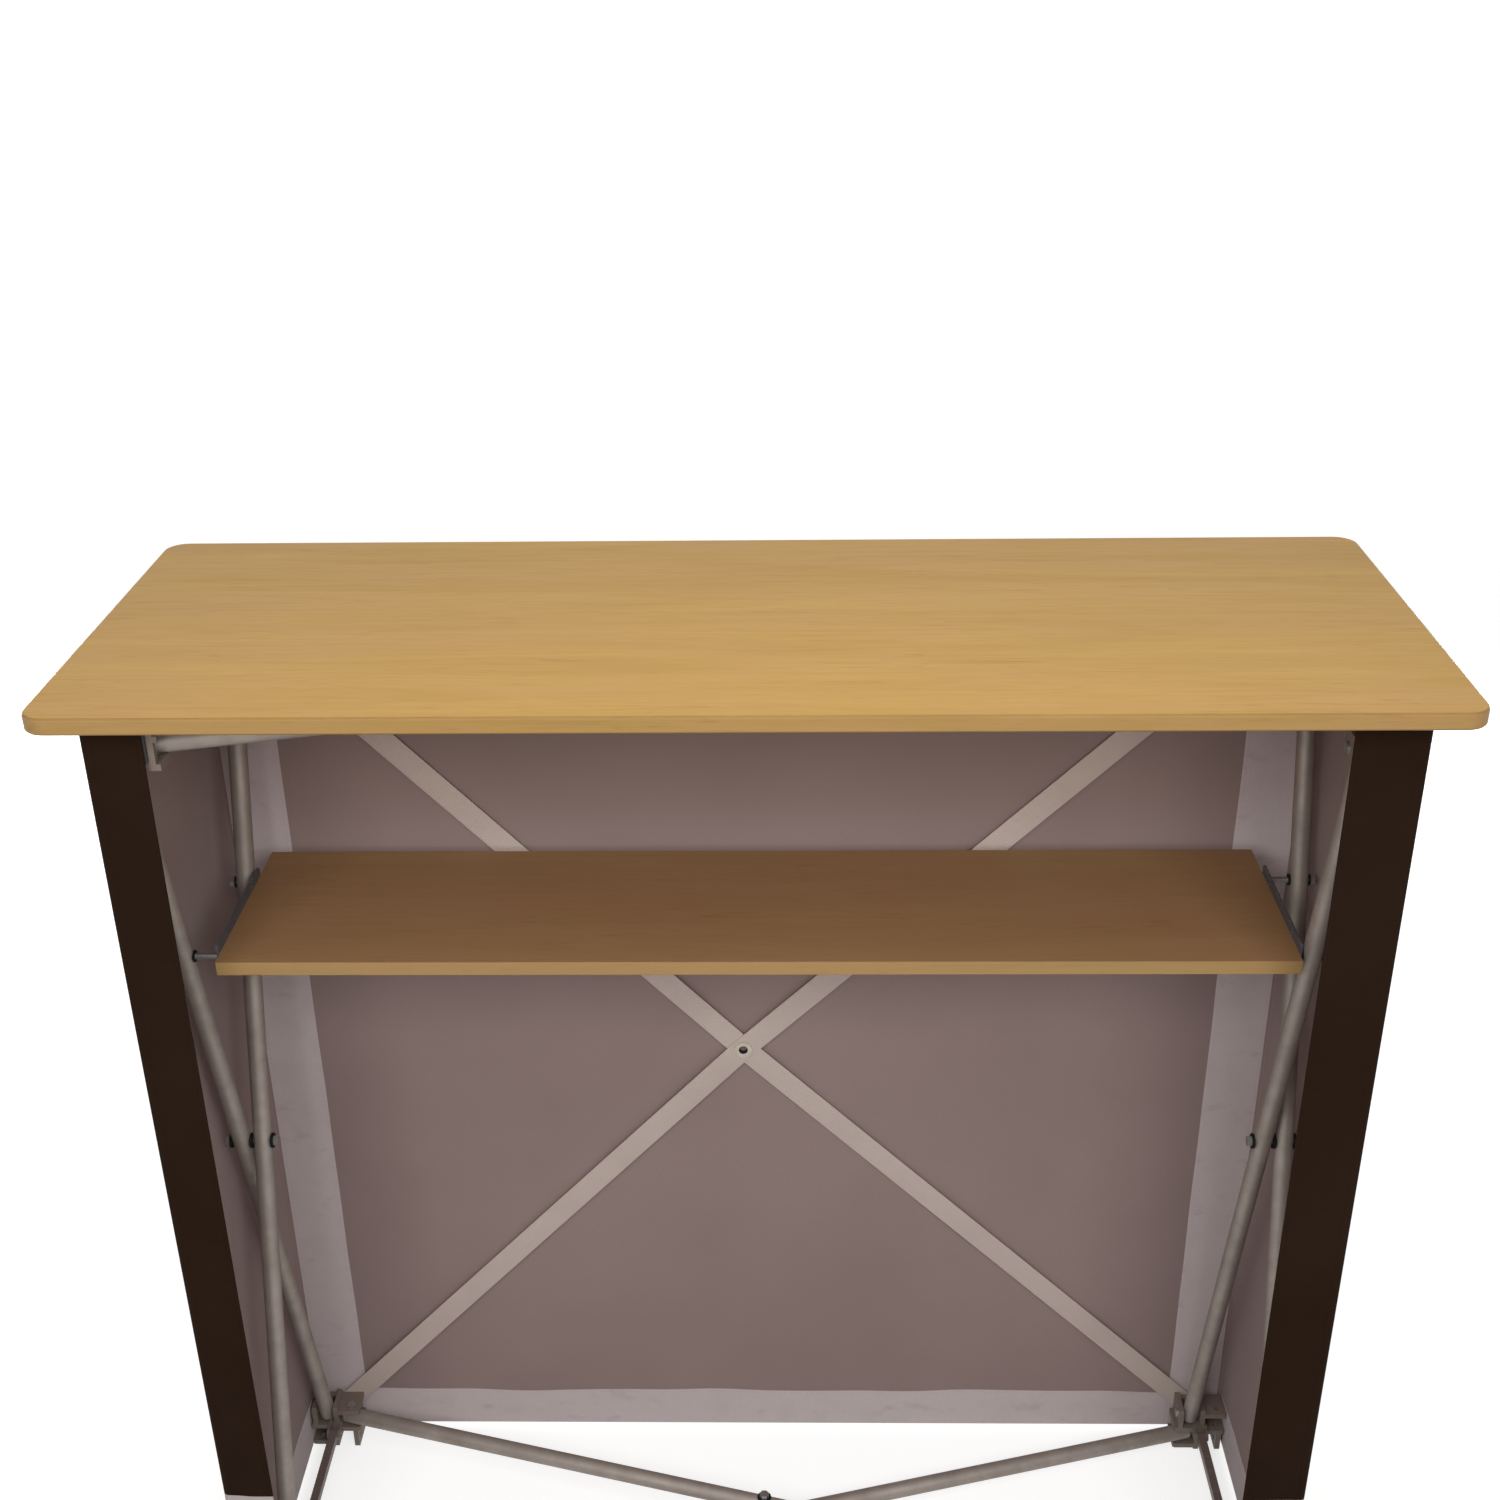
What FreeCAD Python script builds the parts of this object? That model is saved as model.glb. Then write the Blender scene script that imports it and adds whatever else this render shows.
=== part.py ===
import FreeCAD, Part
import math
import os

# Exhibition counter: a folding tube frame, a fabric wrap, a loose top and a hung shelf.
# Millimetres. X runs to the server's right, Y towards the public, Z up.
# The origin is on the floor, under the middle of the counter.
os.makedirs("parts", exist_ok=True)

V = FreeCAD.Vector
X_AXIS = V(1, 0, 0)
Y_AXIS = V(0, 1, 0)
Z_AXIS = V(0, 0, 1)
ORIGIN = V(0, 0, 0)

# Frame: one square bay of eight equal tubes between eight hubs
hub_pitch = 896.0
bay_depth = 236.0
tube_dia = 16.0
tube_wall = 1.2
spacer_thick = 2.5
overrun = 1.0

# Hub moulding, a pinwheel of four forks
leg_reach = 26.0
leg_thick = 5.0
leg_round = 2.5
slot_gap = 0.4
hub_inner = 9.0
hub_outer = 20.0
hub_plate = 5.0
hub_core = 7.0
plate_round = 5.0
pin_reach = 17.0
pin_dia = 5.0
pin_head_dia = 9.0
pin_head_thick = 1.8
pin_fit = 0.1

# Plugs in the tube ends
plug_depth = 24.0
plug_end = 9.0
plug_cap = 4.0
plug_round = 3.0

# Scissor pivots
pivot_dia = 5.0
pivot_head_flats = 8.0
pivot_head_thick = 4.0
washer_dia = 13.5
washer_thick = 1.8

# Lock bars between the lower hubs
bar_width = 8.0
bar_height = 8.0
bar_gap = 0.2
ear_thick = 2.8
ear_reach = 7.0
ear_radius = 5.0
lock_pin_dia = 4.0
scarf_length = 26.0
scarf_gap = 0.3
peg_dia = 4.0
peg_gap = 0.4

# Loose top, larger than the wrap all round
top_end_overhang = 24.0
top_long_overhang = 41.8
top_thick = 13.0
top_corner = 18.0
top_edge_round = 2.0

# Shelf, hung on four bolts through the side tubes
shelf_depth = 189.0
shelf_thick = 12.0
shelf_height = 704.0
shelf_rear = -79.0
shelf_edge_round = 0.8
shelf_bolt_drop = 4.0
shelf_bolt_dia = 5.0
shelf_bolt_grip = 6.0
shelf_bolt_head_flats = 8.0
shelf_bolt_head_thick = 4.0
shelf_washer_dia = 10.0
shelf_washer_thick = 1.2
bracket_thick = 2.0
bracket_gap = 0.3
bracket_rise = 8.0
bracket_foot = 26.0
bracket_past_bolt = 5.0
bracket_hole_dia = 5.0
bracket_hole_inset = 27.0
bracket_hole_lift = 3.5
bracket_slot_gap = 0.4
screw_dia = 4.0
screw_head_dia = 8.0
screw_head_thick = 2.2
screw_length = 9.0

# Fabric wrap, its loop tapes and the hook pads that hold it
wrap_thick = 1.2
wrap_floor_gap = 3.0
wrap_top_gap = 1.0
wrap_leg_gap = 0.2
tape_thick = 0.6
tape_width = 55.0
hem_width = 45.0
return_left = 45.0
return_right = 55.0
pad_thick = 2.0
pad_side = 36.0
pad_round = 4.0

# Crossed webbing behind the front of the wrap
strap_width = 22.0
strap_thick = 1.2
strap_tail = 14.0
rivet_shift = -17.5
rivet_lift = 4.0
rivet_head_dia = 16.5
rivet_bore = 8.0
rivet_body_dia = 10.4
rivet_head_thick = 1.6

# Places that follow from the sizes above
slot_offset = (tube_dia + spacer_thick) / 2
slot_half = tube_dia / 2 + slot_gap
plate_half = slot_offset + slot_half + leg_thick
hub_x = hub_pitch / 2
hub_y = bay_depth / 2
hub_low = leg_reach
hub_high = hub_low + hub_pitch
frame_height = hub_high + leg_reach
mid_height = (hub_low + hub_high) / 2
pin_span = hub_pitch - pin_reach - pin_reach
tube_bore = tube_dia - tube_wall - tube_wall
stack_thick = strap_thick + strap_thick
wrap_in_x = hub_x + leg_reach + wrap_leg_gap + tape_thick
wrap_out_x = wrap_in_x + wrap_thick
tape_in_y = hub_y + hub_outer + stack_thick + pad_thick
wrap_in_y = tape_in_y + tape_thick
wrap_out_y = wrap_in_y + wrap_thick
wrap_low = wrap_floor_gap
wrap_high = frame_height - wrap_top_gap
top_half_width = wrap_out_x + top_end_overhang
top_half_depth = wrap_out_y + top_long_overhang


def write(node, *solids):
    """Save the solids of one node as one STEP file."""
    shape = solids[0] if len(solids) == 1 else Part.makeCompound(list(solids))
    shape.exportStep("parts/" + node + ".step")


def block(low, high):
    """A box between two opposite corners."""
    size = high - low
    return Part.makeBox(size.x, size.y, size.z, low)


def rod(diameter, start, end):
    """A round bar from one point to another."""
    along = end - start
    return Part.makeCylinder(diameter / 2, along.Length, start, along)


def ring(outer, inner, start, end):
    """A round sleeve from one point to another."""
    along = end - start
    middle = along * (overrun / along.Length)
    return rod(outer, start, end).cut(rod(inner, start - middle, end + middle))


def hexagon(flats, start, end):
    """A hexagon bar, its width across flats given, from one point to another."""
    along = end - start
    radius = flats / math.sqrt(3)
    corners = []
    for corner in range(7):
        turn = math.radians(60 * corner)
        corners.append(V(radius * math.cos(turn), radius * math.sin(turn), 0))
    prism = Part.Face(Part.makePolygon(corners)).extrude(V(0, 0, along.Length))
    prism.Placement = FreeCAD.Placement(start, FreeCAD.Rotation(Z_AXIS, along))
    return prism


def edges_along(shape, axis, test):
    """The straight edges that run along an axis and whose middle passes a test."""
    chosen = []
    for edge in shape.Edges:
        if not isinstance(edge.Curve, Part.Line):
            continue
        if abs(edge.Curve.Direction.dot(axis)) > math.cos(math.radians(1)) and test(edge.CenterOfMass):
            chosen.append(edge)
    return chosen


def turned(shape, axis, degrees, centre=ORIGIN):
    """A copy of a shape, turned about an axis."""
    copy = shape.copy()
    copy.rotate(centre, axis, degrees)
    return copy


def moved(shape, place):
    """A copy of a shape, shifted by a vector."""
    copy = shape.copy()
    copy.translate(place)
    return copy


# Hubs: X is across, Z is up and Y points out to the wrap
FORKS = ("up", "right", "down", "left")


def at_fork(shape, fork):
    """A shape of the upper fork, turned round the hub to one of its forks."""
    return turned(shape, Y_AXIS, 360 / len(FORKS) * FORKS.index(fork))


def hub_leg(low_x, high_x):
    """One leg of the upper fork, its free end rounded on the inner side."""
    leg = block(V(low_x, -hub_inner, 0), V(high_x, hub_outer, leg_reach))
    corner = edges_along(leg, X_AXIS, lambda at: at.z > leg_reach / 2 and at.y < 0)
    return leg.makeFillet(leg_round, corner)


def hub_body():
    """The pinwheel moulding, with a bore for each pin and two ears for a lock bar."""
    inner_wall = -slot_offset + slot_half
    outer_wall = -slot_offset - slot_half
    legs = hub_leg(inner_wall, inner_wall + leg_thick).fuse(hub_leg(outer_wall - leg_thick, outer_wall))
    core = block(V(-hub_core, -hub_inner, -hub_core), V(hub_core, hub_outer, hub_core))
    plate = block(V(-plate_half, hub_outer - hub_plate, -plate_half), V(plate_half, hub_outer, plate_half))
    plate = plate.makeFillet(plate_round, edges_along(plate, Y_AXIS, lambda at: True))
    pieces = [plate]
    bores = []
    bore = rod(pin_dia + pin_fit, V(outer_wall - leg_thick - overrun, 0, pin_reach),
               V(inner_wall + leg_thick, 0, pin_reach))
    for fork in FORKS:
        pieces.append(at_fork(legs, fork))
        bores.append(at_fork(bore, fork))
    pivot_y = -hub_inner - ear_reach
    for side in (-1, 1):
        near = side * (bar_width / 2 + bar_gap)
        far = near + side * ear_thick
        start = V(min(near, far), pivot_y, 0)
        end = V(max(near, far), pivot_y, 0)
        root = block(V(start.x, pivot_y, -ear_radius), V(end.x, 0, ear_radius))
        pieces.append(rod(ear_radius + ear_radius, start, end))
        pieces.append(root)
    pin_start = V(-hub_core - overrun, pivot_y, 0)
    pin_end = V(hub_core + overrun, pivot_y, 0)
    bores.append(rod(lock_pin_dia + pin_fit, pin_start, pin_end))
    return core.multiFuse(pieces).cut(Part.makeCompound(bores)).removeSplitter()


def at_hub(shape, side, face, level):
    """Set a shape of the hub's own frame at a hub. Rear hubs are turned half round."""
    placed = shape if face > 0 else turned(shape, Z_AXIS, 180)
    return moved(placed, V(side * hub_x, face * hub_y, level))


def hub_pin():
    """The pin of the upper fork, with a flat head on the outer leg."""
    inner_end = -slot_offset + slot_half + leg_thick
    outer_end = -slot_offset - slot_half - leg_thick
    shank = rod(pin_dia, V(outer_end, 0, pin_reach), V(inner_end, 0, pin_reach))
    head = rod(pin_head_dia, V(outer_end - pin_head_thick, 0, pin_reach), V(outer_end, 0, pin_reach))
    return shank.fuse(head)


HUB_SIDES = (("left", -1), ("right", 1))
HUB_FACES = (("front", 1), ("rear", -1))
HUB_LEVELS = (("bottom", hub_low), ("top", hub_high))

hub = hub_body()
pins = []
for face_name, face in HUB_FACES:
    for level_name, level in HUB_LEVELS:
        for side_name, side in HUB_SIDES:
            write("hub_" + face_name + "_" + level_name + "_" + side_name, at_hub(hub, side, face, level))
            upright = "up" if level_name == "bottom" else "down"
            sideways = "right" if side * face < 0 else "left"
            for fork in (upright, sideways):
                pins.append(at_hub(at_fork(hub_pin(), fork), side, face, level))
write("hub_pins", *pins)


# Tubes, their end plugs and the bolts where they cross
class Tube:
    """One tube between two hub pins, with the direction of its pins."""

    def __init__(self, name, start, end, pin_axis):
        self.name = name
        self.start = start
        self.end = end
        self.pin_axis = pin_axis
        self.along = (end - start).normalize()

    def point_at_height(self, height):
        share = (height - self.start.z) / (self.end.z - self.start.z)
        return self.start + (self.end - self.start) * share

    def middle(self):
        return (self.start + self.end) * 0.5

    def cross_bore(self, centre, diameter):
        half = self.pin_axis * (tube_dia / 2 + overrun)
        return rod(diameter, centre - half, centre + half)

    def sleeve_end(self):
        return self.along * (plug_end - plug_cap)

    def body(self, bolt_height=None):
        sleeve = ring(tube_dia, tube_bore, self.start - self.sleeve_end(), self.end + self.sleeve_end())
        bores = [self.cross_bore(self.start, pin_dia + pin_fit)]
        bores.append(self.cross_bore(self.end, pin_dia + pin_fit))
        bores.append(self.cross_bore(self.middle(), pivot_dia + pin_fit))
        if bolt_height is not None:
            bores.append(self.cross_bore(self.point_at_height(bolt_height), shelf_bolt_dia + pin_fit))
        return sleeve.cut(Part.makeCompound(bores))

    def plug(self, at, outward):
        shoulder = at + outward * (plug_end - plug_cap)
        cap = rod(tube_dia, shoulder, at + outward * plug_end)
        rim = [edge for edge in cap.Edges if (edge.CenterOfMass - at).dot(outward) > plug_end - pin_fit]
        cap = cap.makeFillet(plug_round, rim)
        spigot = rod(tube_bore - pin_fit, at - outward * plug_depth, shoulder)
        return cap.fuse(spigot).cut(self.cross_bore(at, pin_dia + pin_fit)).removeSplitter()

    def plugs(self):
        return [self.plug(self.start, self.along * -1), self.plug(self.end, self.along)]


def side_tube(name, x, front_level, rear_level):
    """A tube of a side scissor. Levels are the signs of its front and rear ends."""
    front = V(x, hub_y, mid_height + front_level * pin_span / 2)
    rear = V(x, -hub_y, mid_height + rear_level * pin_span / 2)
    return Tube(name, front, rear, X_AXIS)


def flat_tube(name, z, front_side):
    """A tube of the lower or upper scissor. The sign is the side of its front end."""
    front = V(front_side * pin_span / 2, hub_y, z)
    rear = V(-front_side * pin_span / 2, -hub_y, z)
    return Tube(name, front, rear, Z_AXIS)


left_outer = side_tube("tube_left_outer", -hub_x - slot_offset, -1, 1)
left_inner = side_tube("tube_left_inner", -hub_x + slot_offset, 1, -1)
right_inner = side_tube("tube_right_inner", hub_x - slot_offset, -1, 1)
right_outer = side_tube("tube_right_outer", hub_x + slot_offset, 1, -1)
base_upper = flat_tube("tube_base_upper", hub_low + slot_offset, -1)
base_lower = flat_tube("tube_base_lower", hub_low - slot_offset, 1)
top_upper = flat_tube("tube_top_upper", hub_high + slot_offset, -1)
top_lower = flat_tube("tube_top_lower", hub_high - slot_offset, 1)

side_tubes = (left_outer, left_inner, right_inner, right_outer)
flat_tubes = (base_upper, base_lower, top_upper, top_lower)
shelf_bolt_z = shelf_height - shelf_bolt_drop
plugs = []
for tube in side_tubes:
    write(tube.name, tube.body(shelf_bolt_z))
    plugs.extend(tube.plugs())
for tube in flat_tubes:
    write(tube.name, tube.body())
    plugs.extend(tube.plugs())
write("tube_end_plugs", *plugs)


def pivot(centre, axis):
    """Bolt, nut, two washers and a middle spacer of one scissor pivot, along an axis."""
    tube_face = slot_offset + tube_dia / 2
    outer = tube_face + washer_thick
    spacers = []
    stack = ((-outer, washer_thick), (-spacer_thick / 2, spacer_thick), (tube_face, washer_thick))
    for place, thick in stack:
        start = centre + axis * place
        spacers.append(ring(washer_dia, pivot_dia + pin_fit, start, start + axis * thick))
    shank = rod(pivot_dia, centre - axis * outer, centre + axis * (outer + pivot_head_thick))
    head = hexagon(pivot_head_flats, centre - axis * (outer + pivot_head_thick), centre - axis * outer)
    nut_end = centre + axis * (outer + pivot_head_thick)
    nut = hexagon(pivot_head_flats, centre + axis * outer, nut_end)
    nut = nut.cut(rod(pivot_dia + pin_fit, centre, nut_end + axis * overrun))
    return shank.fuse(head), nut, spacers


bolts = []
nuts = []
spacers = []
for centre, axis in ((V(-hub_x, 0, mid_height), X_AXIS), (V(hub_x, 0, mid_height), X_AXIS * -1),
                     (V(0, 0, hub_low), Z_AXIS), (V(0, 0, hub_high), Z_AXIS * -1)):
    bolt, nut, rings = pivot(centre, axis)
    bolts.append(bolt)
    nuts.append(nut)
    spacers.extend(rings)
write("pivot_bolts", *bolts)
write("pivot_nuts", *nuts)
write("pivot_spacers", *spacers)

# Lock bars: the front half lifts off a peg hole in the rear half
bar_pivot_y = hub_y - hub_inner - ear_reach
bar_top = hub_low + bar_height / 2
bar_low = hub_low - bar_height / 2


def lock_bar(x, face, low, high):
    """One half bar: a round eye at the hub and a half-thick tongue at the middle."""
    left = x - bar_width / 2
    right = x + bar_width / 2
    eye_y = face * bar_pivot_y
    scarf_y = face * scarf_length / 2
    eye = rod(bar_height, V(left, eye_y, hub_low), V(right, eye_y, hub_low))
    stem = block(V(left, min(eye_y, scarf_y), bar_low), V(right, max(eye_y, scarf_y), bar_top))
    tip_y = -scarf_y + face * scarf_gap
    tongue = block(V(left, min(scarf_y, tip_y), low), V(right, max(scarf_y, tip_y), high))
    bore = rod(lock_pin_dia + pin_fit, V(left - overrun, eye_y, hub_low), V(right + overrun, eye_y, hub_low))
    return eye.multiFuse([stem, tongue]).cut(bore).removeSplitter()


lock_pins = []
for side_name, side in HUB_SIDES:
    x = side * hub_x
    peg = rod(peg_dia, V(x, 0, bar_low + scarf_gap), V(x, 0, hub_low + scarf_gap))
    hole = rod(peg_dia + peg_gap + peg_gap, V(x, 0, bar_low - overrun), V(x, 0, bar_top + overrun))
    front_bar = lock_bar(x, 1, hub_low + scarf_gap / 2, bar_top).fuse(peg).removeSplitter()
    rear_bar = lock_bar(x, -1, bar_low, hub_low - scarf_gap / 2).cut(hole)
    write("lock_bar_front_" + side_name, front_bar)
    write("lock_bar_rear_" + side_name, rear_bar)
    for face_name, face in HUB_FACES:
        pin_y = face * bar_pivot_y
        lock_pins.append(rod(lock_pin_dia, V(x - hub_core, pin_y, hub_low), V(x + hub_core, pin_y, hub_low)))
write("lock_pins", *lock_pins)

# Loose top
top_board = block(V(-top_half_width, -top_half_depth, frame_height),
                  V(top_half_width, top_half_depth, frame_height + top_thick))
top_board = top_board.makeFillet(top_corner, edges_along(top_board, Z_AXIS, lambda at: True))
rim = [edge for edge in top_board.Edges if edge.BoundBox.ZLength < top_edge_round]
write("top_board", top_board.makeFillet(top_edge_round, rim))

# Shelf board, its two angle brackets and the bolts that carry them
bolt_rear = left_outer.point_at_height(shelf_bolt_z)
bolt_front = left_inner.point_at_height(shelf_bolt_z)
bracket_out_x = hub_x - slot_offset - tube_dia / 2 - shelf_washer_thick - bracket_gap
shelf_half = bracket_out_x - bracket_thick
bracket_rear = bolt_rear.y - bracket_past_bolt
bracket_front = bolt_front.y + bracket_past_bolt
shelf_low = shelf_height - shelf_thick
bracket_low = shelf_low - bracket_thick


def bolt_slot(side, y):
    """The slot, open below, that drops over one shelf bolt."""
    width = shelf_bolt_dia + bracket_slot_gap + bracket_slot_gap
    outer = side * (bracket_out_x + overrun)
    inner = side * (shelf_half - shelf_bolt_grip)
    round_top = rod(width, V(inner, y, shelf_bolt_z), V(outer, y, shelf_bolt_z))
    mouth = block(V(min(inner, outer), y - width / 2, bracket_low - overrun),
                  V(max(inner, outer), y + width / 2, shelf_bolt_z))
    return round_top.fuse(mouth)


def bracket(side, slots):
    """The steel angle under one end of the shelf, with its upstand outside the board."""
    outer = side * bracket_out_x
    inner = side * shelf_half
    foot_end = side * (shelf_half - bracket_foot)
    upstand = block(V(min(outer, inner), bracket_rear, bracket_low),
                    V(max(outer, inner), bracket_front, shelf_height + bracket_rise))
    upstand = upstand.makeFillet(bracket_rise / 4, edges_along(
        upstand, X_AXIS, lambda at: at.z > shelf_height))
    foot = block(V(min(inner, foot_end), bracket_rear, bracket_low),
                 V(max(inner, foot_end), bracket_front, shelf_low))
    cuts = list(slots)
    hole_z = shelf_height + bracket_hole_lift
    for hole_y in (bracket_rear + bracket_hole_inset, bracket_front - bracket_hole_inset):
        cuts.append(rod(bracket_hole_dia, V(outer + side * overrun, hole_y, hole_z),
                        V(inner - side * overrun, hole_y, hole_z)))
    return upstand.fuse(foot).cut(Part.makeCompound(cuts)).removeSplitter()


shelf_front = shelf_rear + shelf_depth
shelf_board = block(V(-shelf_half, shelf_rear, shelf_low), V(shelf_half, shelf_front, shelf_height))
shelf_board = shelf_board.makeFillet(shelf_edge_round, edges_along(shelf_board, X_AXIS, lambda at: True))
screws = []
shelf_bolts = []
shelf_washers = []
for side_name, side in HUB_SIDES:
    slots = [bolt_slot(side, bolt_rear.y), bolt_slot(side, bolt_front.y)]
    shelf_board = shelf_board.cut(Part.makeCompound(slots))
    screw_x = side * (shelf_half - bracket_foot / 2)
    screw_ys = (bracket_rear + bracket_foot, bracket_front - bracket_foot)
    holes = []
    for screw_y in screw_ys:
        foot_face = V(screw_x, screw_y, bracket_low)
        head = rod(screw_head_dia, foot_face - Z_AXIS * screw_head_thick, foot_face)
        screws.append(rod(screw_dia, foot_face, foot_face + Z_AXIS * screw_length).fuse(head))
        holes.append(rod(screw_dia + pin_fit, foot_face - Z_AXIS * overrun,
                         foot_face + Z_AXIS * (screw_length + pin_fit)))
    shelf_board = shelf_board.cut(Part.makeCompound(holes))
    write("shelf_bracket_" + side_name, bracket(side, slots).cut(Part.makeCompound(holes)))
for tube in side_tubes:
    at = tube.point_at_height(shelf_bolt_z)
    outward = X_AXIS if at.x > 0 else X_AXIS * -1
    tube_out = at + outward * (tube_dia / 2)
    tube_in = at - outward * (tube_dia / 2)
    washer_out = tube_out + outward * shelf_washer_thick
    washer_in = tube_in - outward * shelf_washer_thick
    tip_x = shelf_half - shelf_bolt_grip + overrun
    tip = V(math.copysign(tip_x, at.x), at.y, at.z)
    head = hexagon(shelf_bolt_head_flats, washer_out, washer_out + outward * shelf_bolt_head_thick)
    shelf_bolts.append(rod(shelf_bolt_dia, tip, washer_out).fuse(head))
    shelf_washers.append(ring(shelf_washer_dia, shelf_bolt_dia + pin_fit, tube_out, washer_out))
    shelf_washers.append(ring(shelf_washer_dia, shelf_bolt_dia + pin_fit, washer_in, tube_in))
write("shelf_board", shelf_board)
write("bracket_screws", *screws)
write("shelf_bolts", *shelf_bolts)
write("shelf_bolt_washers", *shelf_washers)

# Fabric wrap: a front and two sides that turn in at the rear
write("wrap_front", block(V(-wrap_in_x, wrap_in_y, wrap_low), V(wrap_in_x, wrap_out_y, wrap_high)))
return_widths = {"left": return_left, "right": return_right}
side_tapes = []
return_tapes = []
for side_name, side in HUB_SIDES:
    width = return_widths[side_name]
    inner = side * wrap_in_x
    outer = side * wrap_out_x
    tape_face = side * (wrap_in_x - tape_thick)
    edge = side * (wrap_out_x - width)
    wall = block(V(min(inner, outer), -wrap_out_y, wrap_low), V(max(inner, outer), wrap_out_y, wrap_high))
    turn_in = block(V(min(edge, inner), -wrap_out_y, wrap_low), V(max(edge, inner), -wrap_in_y, wrap_high))
    write("wrap_side_" + side_name, wall.fuse(turn_in).removeSplitter())
    side_tapes.append(block(V(min(inner, tape_face), -tape_in_y, wrap_low),
                            V(max(inner, tape_face), tape_in_y, wrap_low + hem_width)))
    side_tapes.append(block(V(min(inner, tape_face), -tape_in_y, wrap_low + hem_width),
                            V(max(inner, tape_face), -tape_in_y + hem_width, wrap_high)))
    return_tapes.append(block(V(min(edge, inner), -wrap_in_y, wrap_low),
                              V(max(edge, inner), -tape_in_y, wrap_high)))
write("side_tapes", *side_tapes)
write("return_tapes", *return_tapes)
upright_edge = wrap_in_x - tape_width
for name, low_x, high_x, low_z, high_z in (
        ("front_tape_left", -wrap_in_x, -upright_edge, wrap_low, wrap_high),
        ("front_tape_right", upright_edge, wrap_in_x, wrap_low, wrap_high),
        ("front_tape_bottom", -upright_edge, upright_edge, wrap_low, wrap_low + hem_width),
        ("front_tape_top", -upright_edge, upright_edge, wrap_high - hem_width, wrap_high)):
    write(name, block(V(low_x, tape_in_y, low_z), V(high_x, wrap_in_y, high_z)))


def pad(thickness):
    """A square pad with round corners on the outer face of a hub."""
    half = pad_side / 2
    square = block(V(-half, hub_outer, -half), V(half, hub_outer + thickness, half))
    return square.makeFillet(pad_round, edges_along(square, Y_AXIS, lambda at: True))


# Webbing: each strap bends a little where the rivet holds the two together
rivet_centre = V(rivet_shift, 0, mid_height + rivet_lift)
strap_near = hub_y + hub_outer
strap_far = strap_near + strap_thick


def strap_arm(end, y):
    """One arm of a strap, from past a hub's middle to past the rivet."""
    along = (rivet_centre - end).normalize()
    across = V(along.z, 0, -along.x) * (strap_width / 2)
    start = end - along * strap_tail + Y_AXIS * y
    finish = rivet_centre + along * (strap_width / 2) + Y_AXIS * y
    corners = [start + across, finish + across, finish - across, start - across, start + across]
    return Part.Face(Part.makePolygon(corners)).extrude(Y_AXIS * strap_thick)


def strap(rising):
    """A strap with two arms, its place in the stack and the bore for the rivet."""
    y = strap_near if rising else strap_far
    left_end = V(-hub_x, 0, hub_low if rising else hub_high)
    right_end = V(hub_x, 0, hub_high if rising else hub_low)
    whole = strap_arm(left_end, y).fuse(strap_arm(right_end, y))
    bore = rod(rivet_body_dia, rivet_centre + Y_AXIS * (y - overrun),
               rivet_centre + Y_AXIS * (strap_far + strap_thick + overrun))
    return whole.cut(bore).removeSplitter()


write("strap_rising", strap(True))
write("strap_falling", strap(False))
rivet_low = rivet_centre + Y_AXIS * (strap_near - rivet_head_thick)
rivet_high = rivet_centre + Y_AXIS * (strap_far + strap_thick + rivet_head_thick)
rivet_body = rod(rivet_body_dia, rivet_low, rivet_high)
rivet_front = rod(rivet_head_dia, rivet_low, rivet_low + Y_AXIS * rivet_head_thick)
rivet_back = rod(rivet_head_dia, rivet_high - Y_AXIS * rivet_head_thick, rivet_high)
rivet = rivet_body.multiFuse([rivet_front, rivet_back])
write("strap_rivet", rivet.cut(rod(rivet_bore, rivet_low - Y_AXIS * overrun, rivet_high)))

# Hook pads on the hubs, with a keeper plate under or over each strap end
keeper = pad(strap_thick)
front_pad = moved(pad(pad_thick), Y_AXIS * stack_thick)
rear_pad = pad(stack_thick + pad_thick)
keepers = []
front_pads = []
rear_pads = []
for level_name, level in HUB_LEVELS:
    for side_name, side in HUB_SIDES:
        on_rising = (side > 0) == (level > mid_height)
        keeper_place = Y_AXIS * (strap_thick if on_rising else 0)
        keepers.append(at_hub(moved(keeper, keeper_place), side, 1, level))
        front_pads.append(at_hub(front_pad, side, 1, level))
        rear_pads.append(at_hub(rear_pad, side, -1, level))
write("strap_keepers", *keepers)
write("hook_pads_front", *front_pads)
write("hook_pads_rear", *rear_pads)
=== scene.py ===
# Looks of the exhibition counter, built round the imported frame. Metres, +Z up, +Y to the public.
import math

import bmesh
import bpy
from mathutils import Matrix, Vector


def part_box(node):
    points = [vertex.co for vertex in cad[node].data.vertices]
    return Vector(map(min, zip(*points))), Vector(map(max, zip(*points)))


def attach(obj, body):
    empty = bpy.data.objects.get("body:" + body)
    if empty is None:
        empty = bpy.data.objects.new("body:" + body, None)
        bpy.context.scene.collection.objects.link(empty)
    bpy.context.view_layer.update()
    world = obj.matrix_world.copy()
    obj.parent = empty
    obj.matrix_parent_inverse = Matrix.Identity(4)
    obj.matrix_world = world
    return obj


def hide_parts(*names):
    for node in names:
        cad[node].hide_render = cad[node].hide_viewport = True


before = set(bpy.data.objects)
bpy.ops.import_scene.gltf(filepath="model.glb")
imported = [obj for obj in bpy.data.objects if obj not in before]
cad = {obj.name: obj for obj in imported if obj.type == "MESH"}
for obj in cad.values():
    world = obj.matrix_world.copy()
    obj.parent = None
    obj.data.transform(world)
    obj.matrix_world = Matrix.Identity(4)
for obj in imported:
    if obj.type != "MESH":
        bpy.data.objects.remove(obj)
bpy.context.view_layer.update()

# Cloth: sizes that the frame doesn't give
CORNER_ROUND = 0.005
CORNER_STEPS = 5
CLOTH_STEP = 0.009
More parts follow.
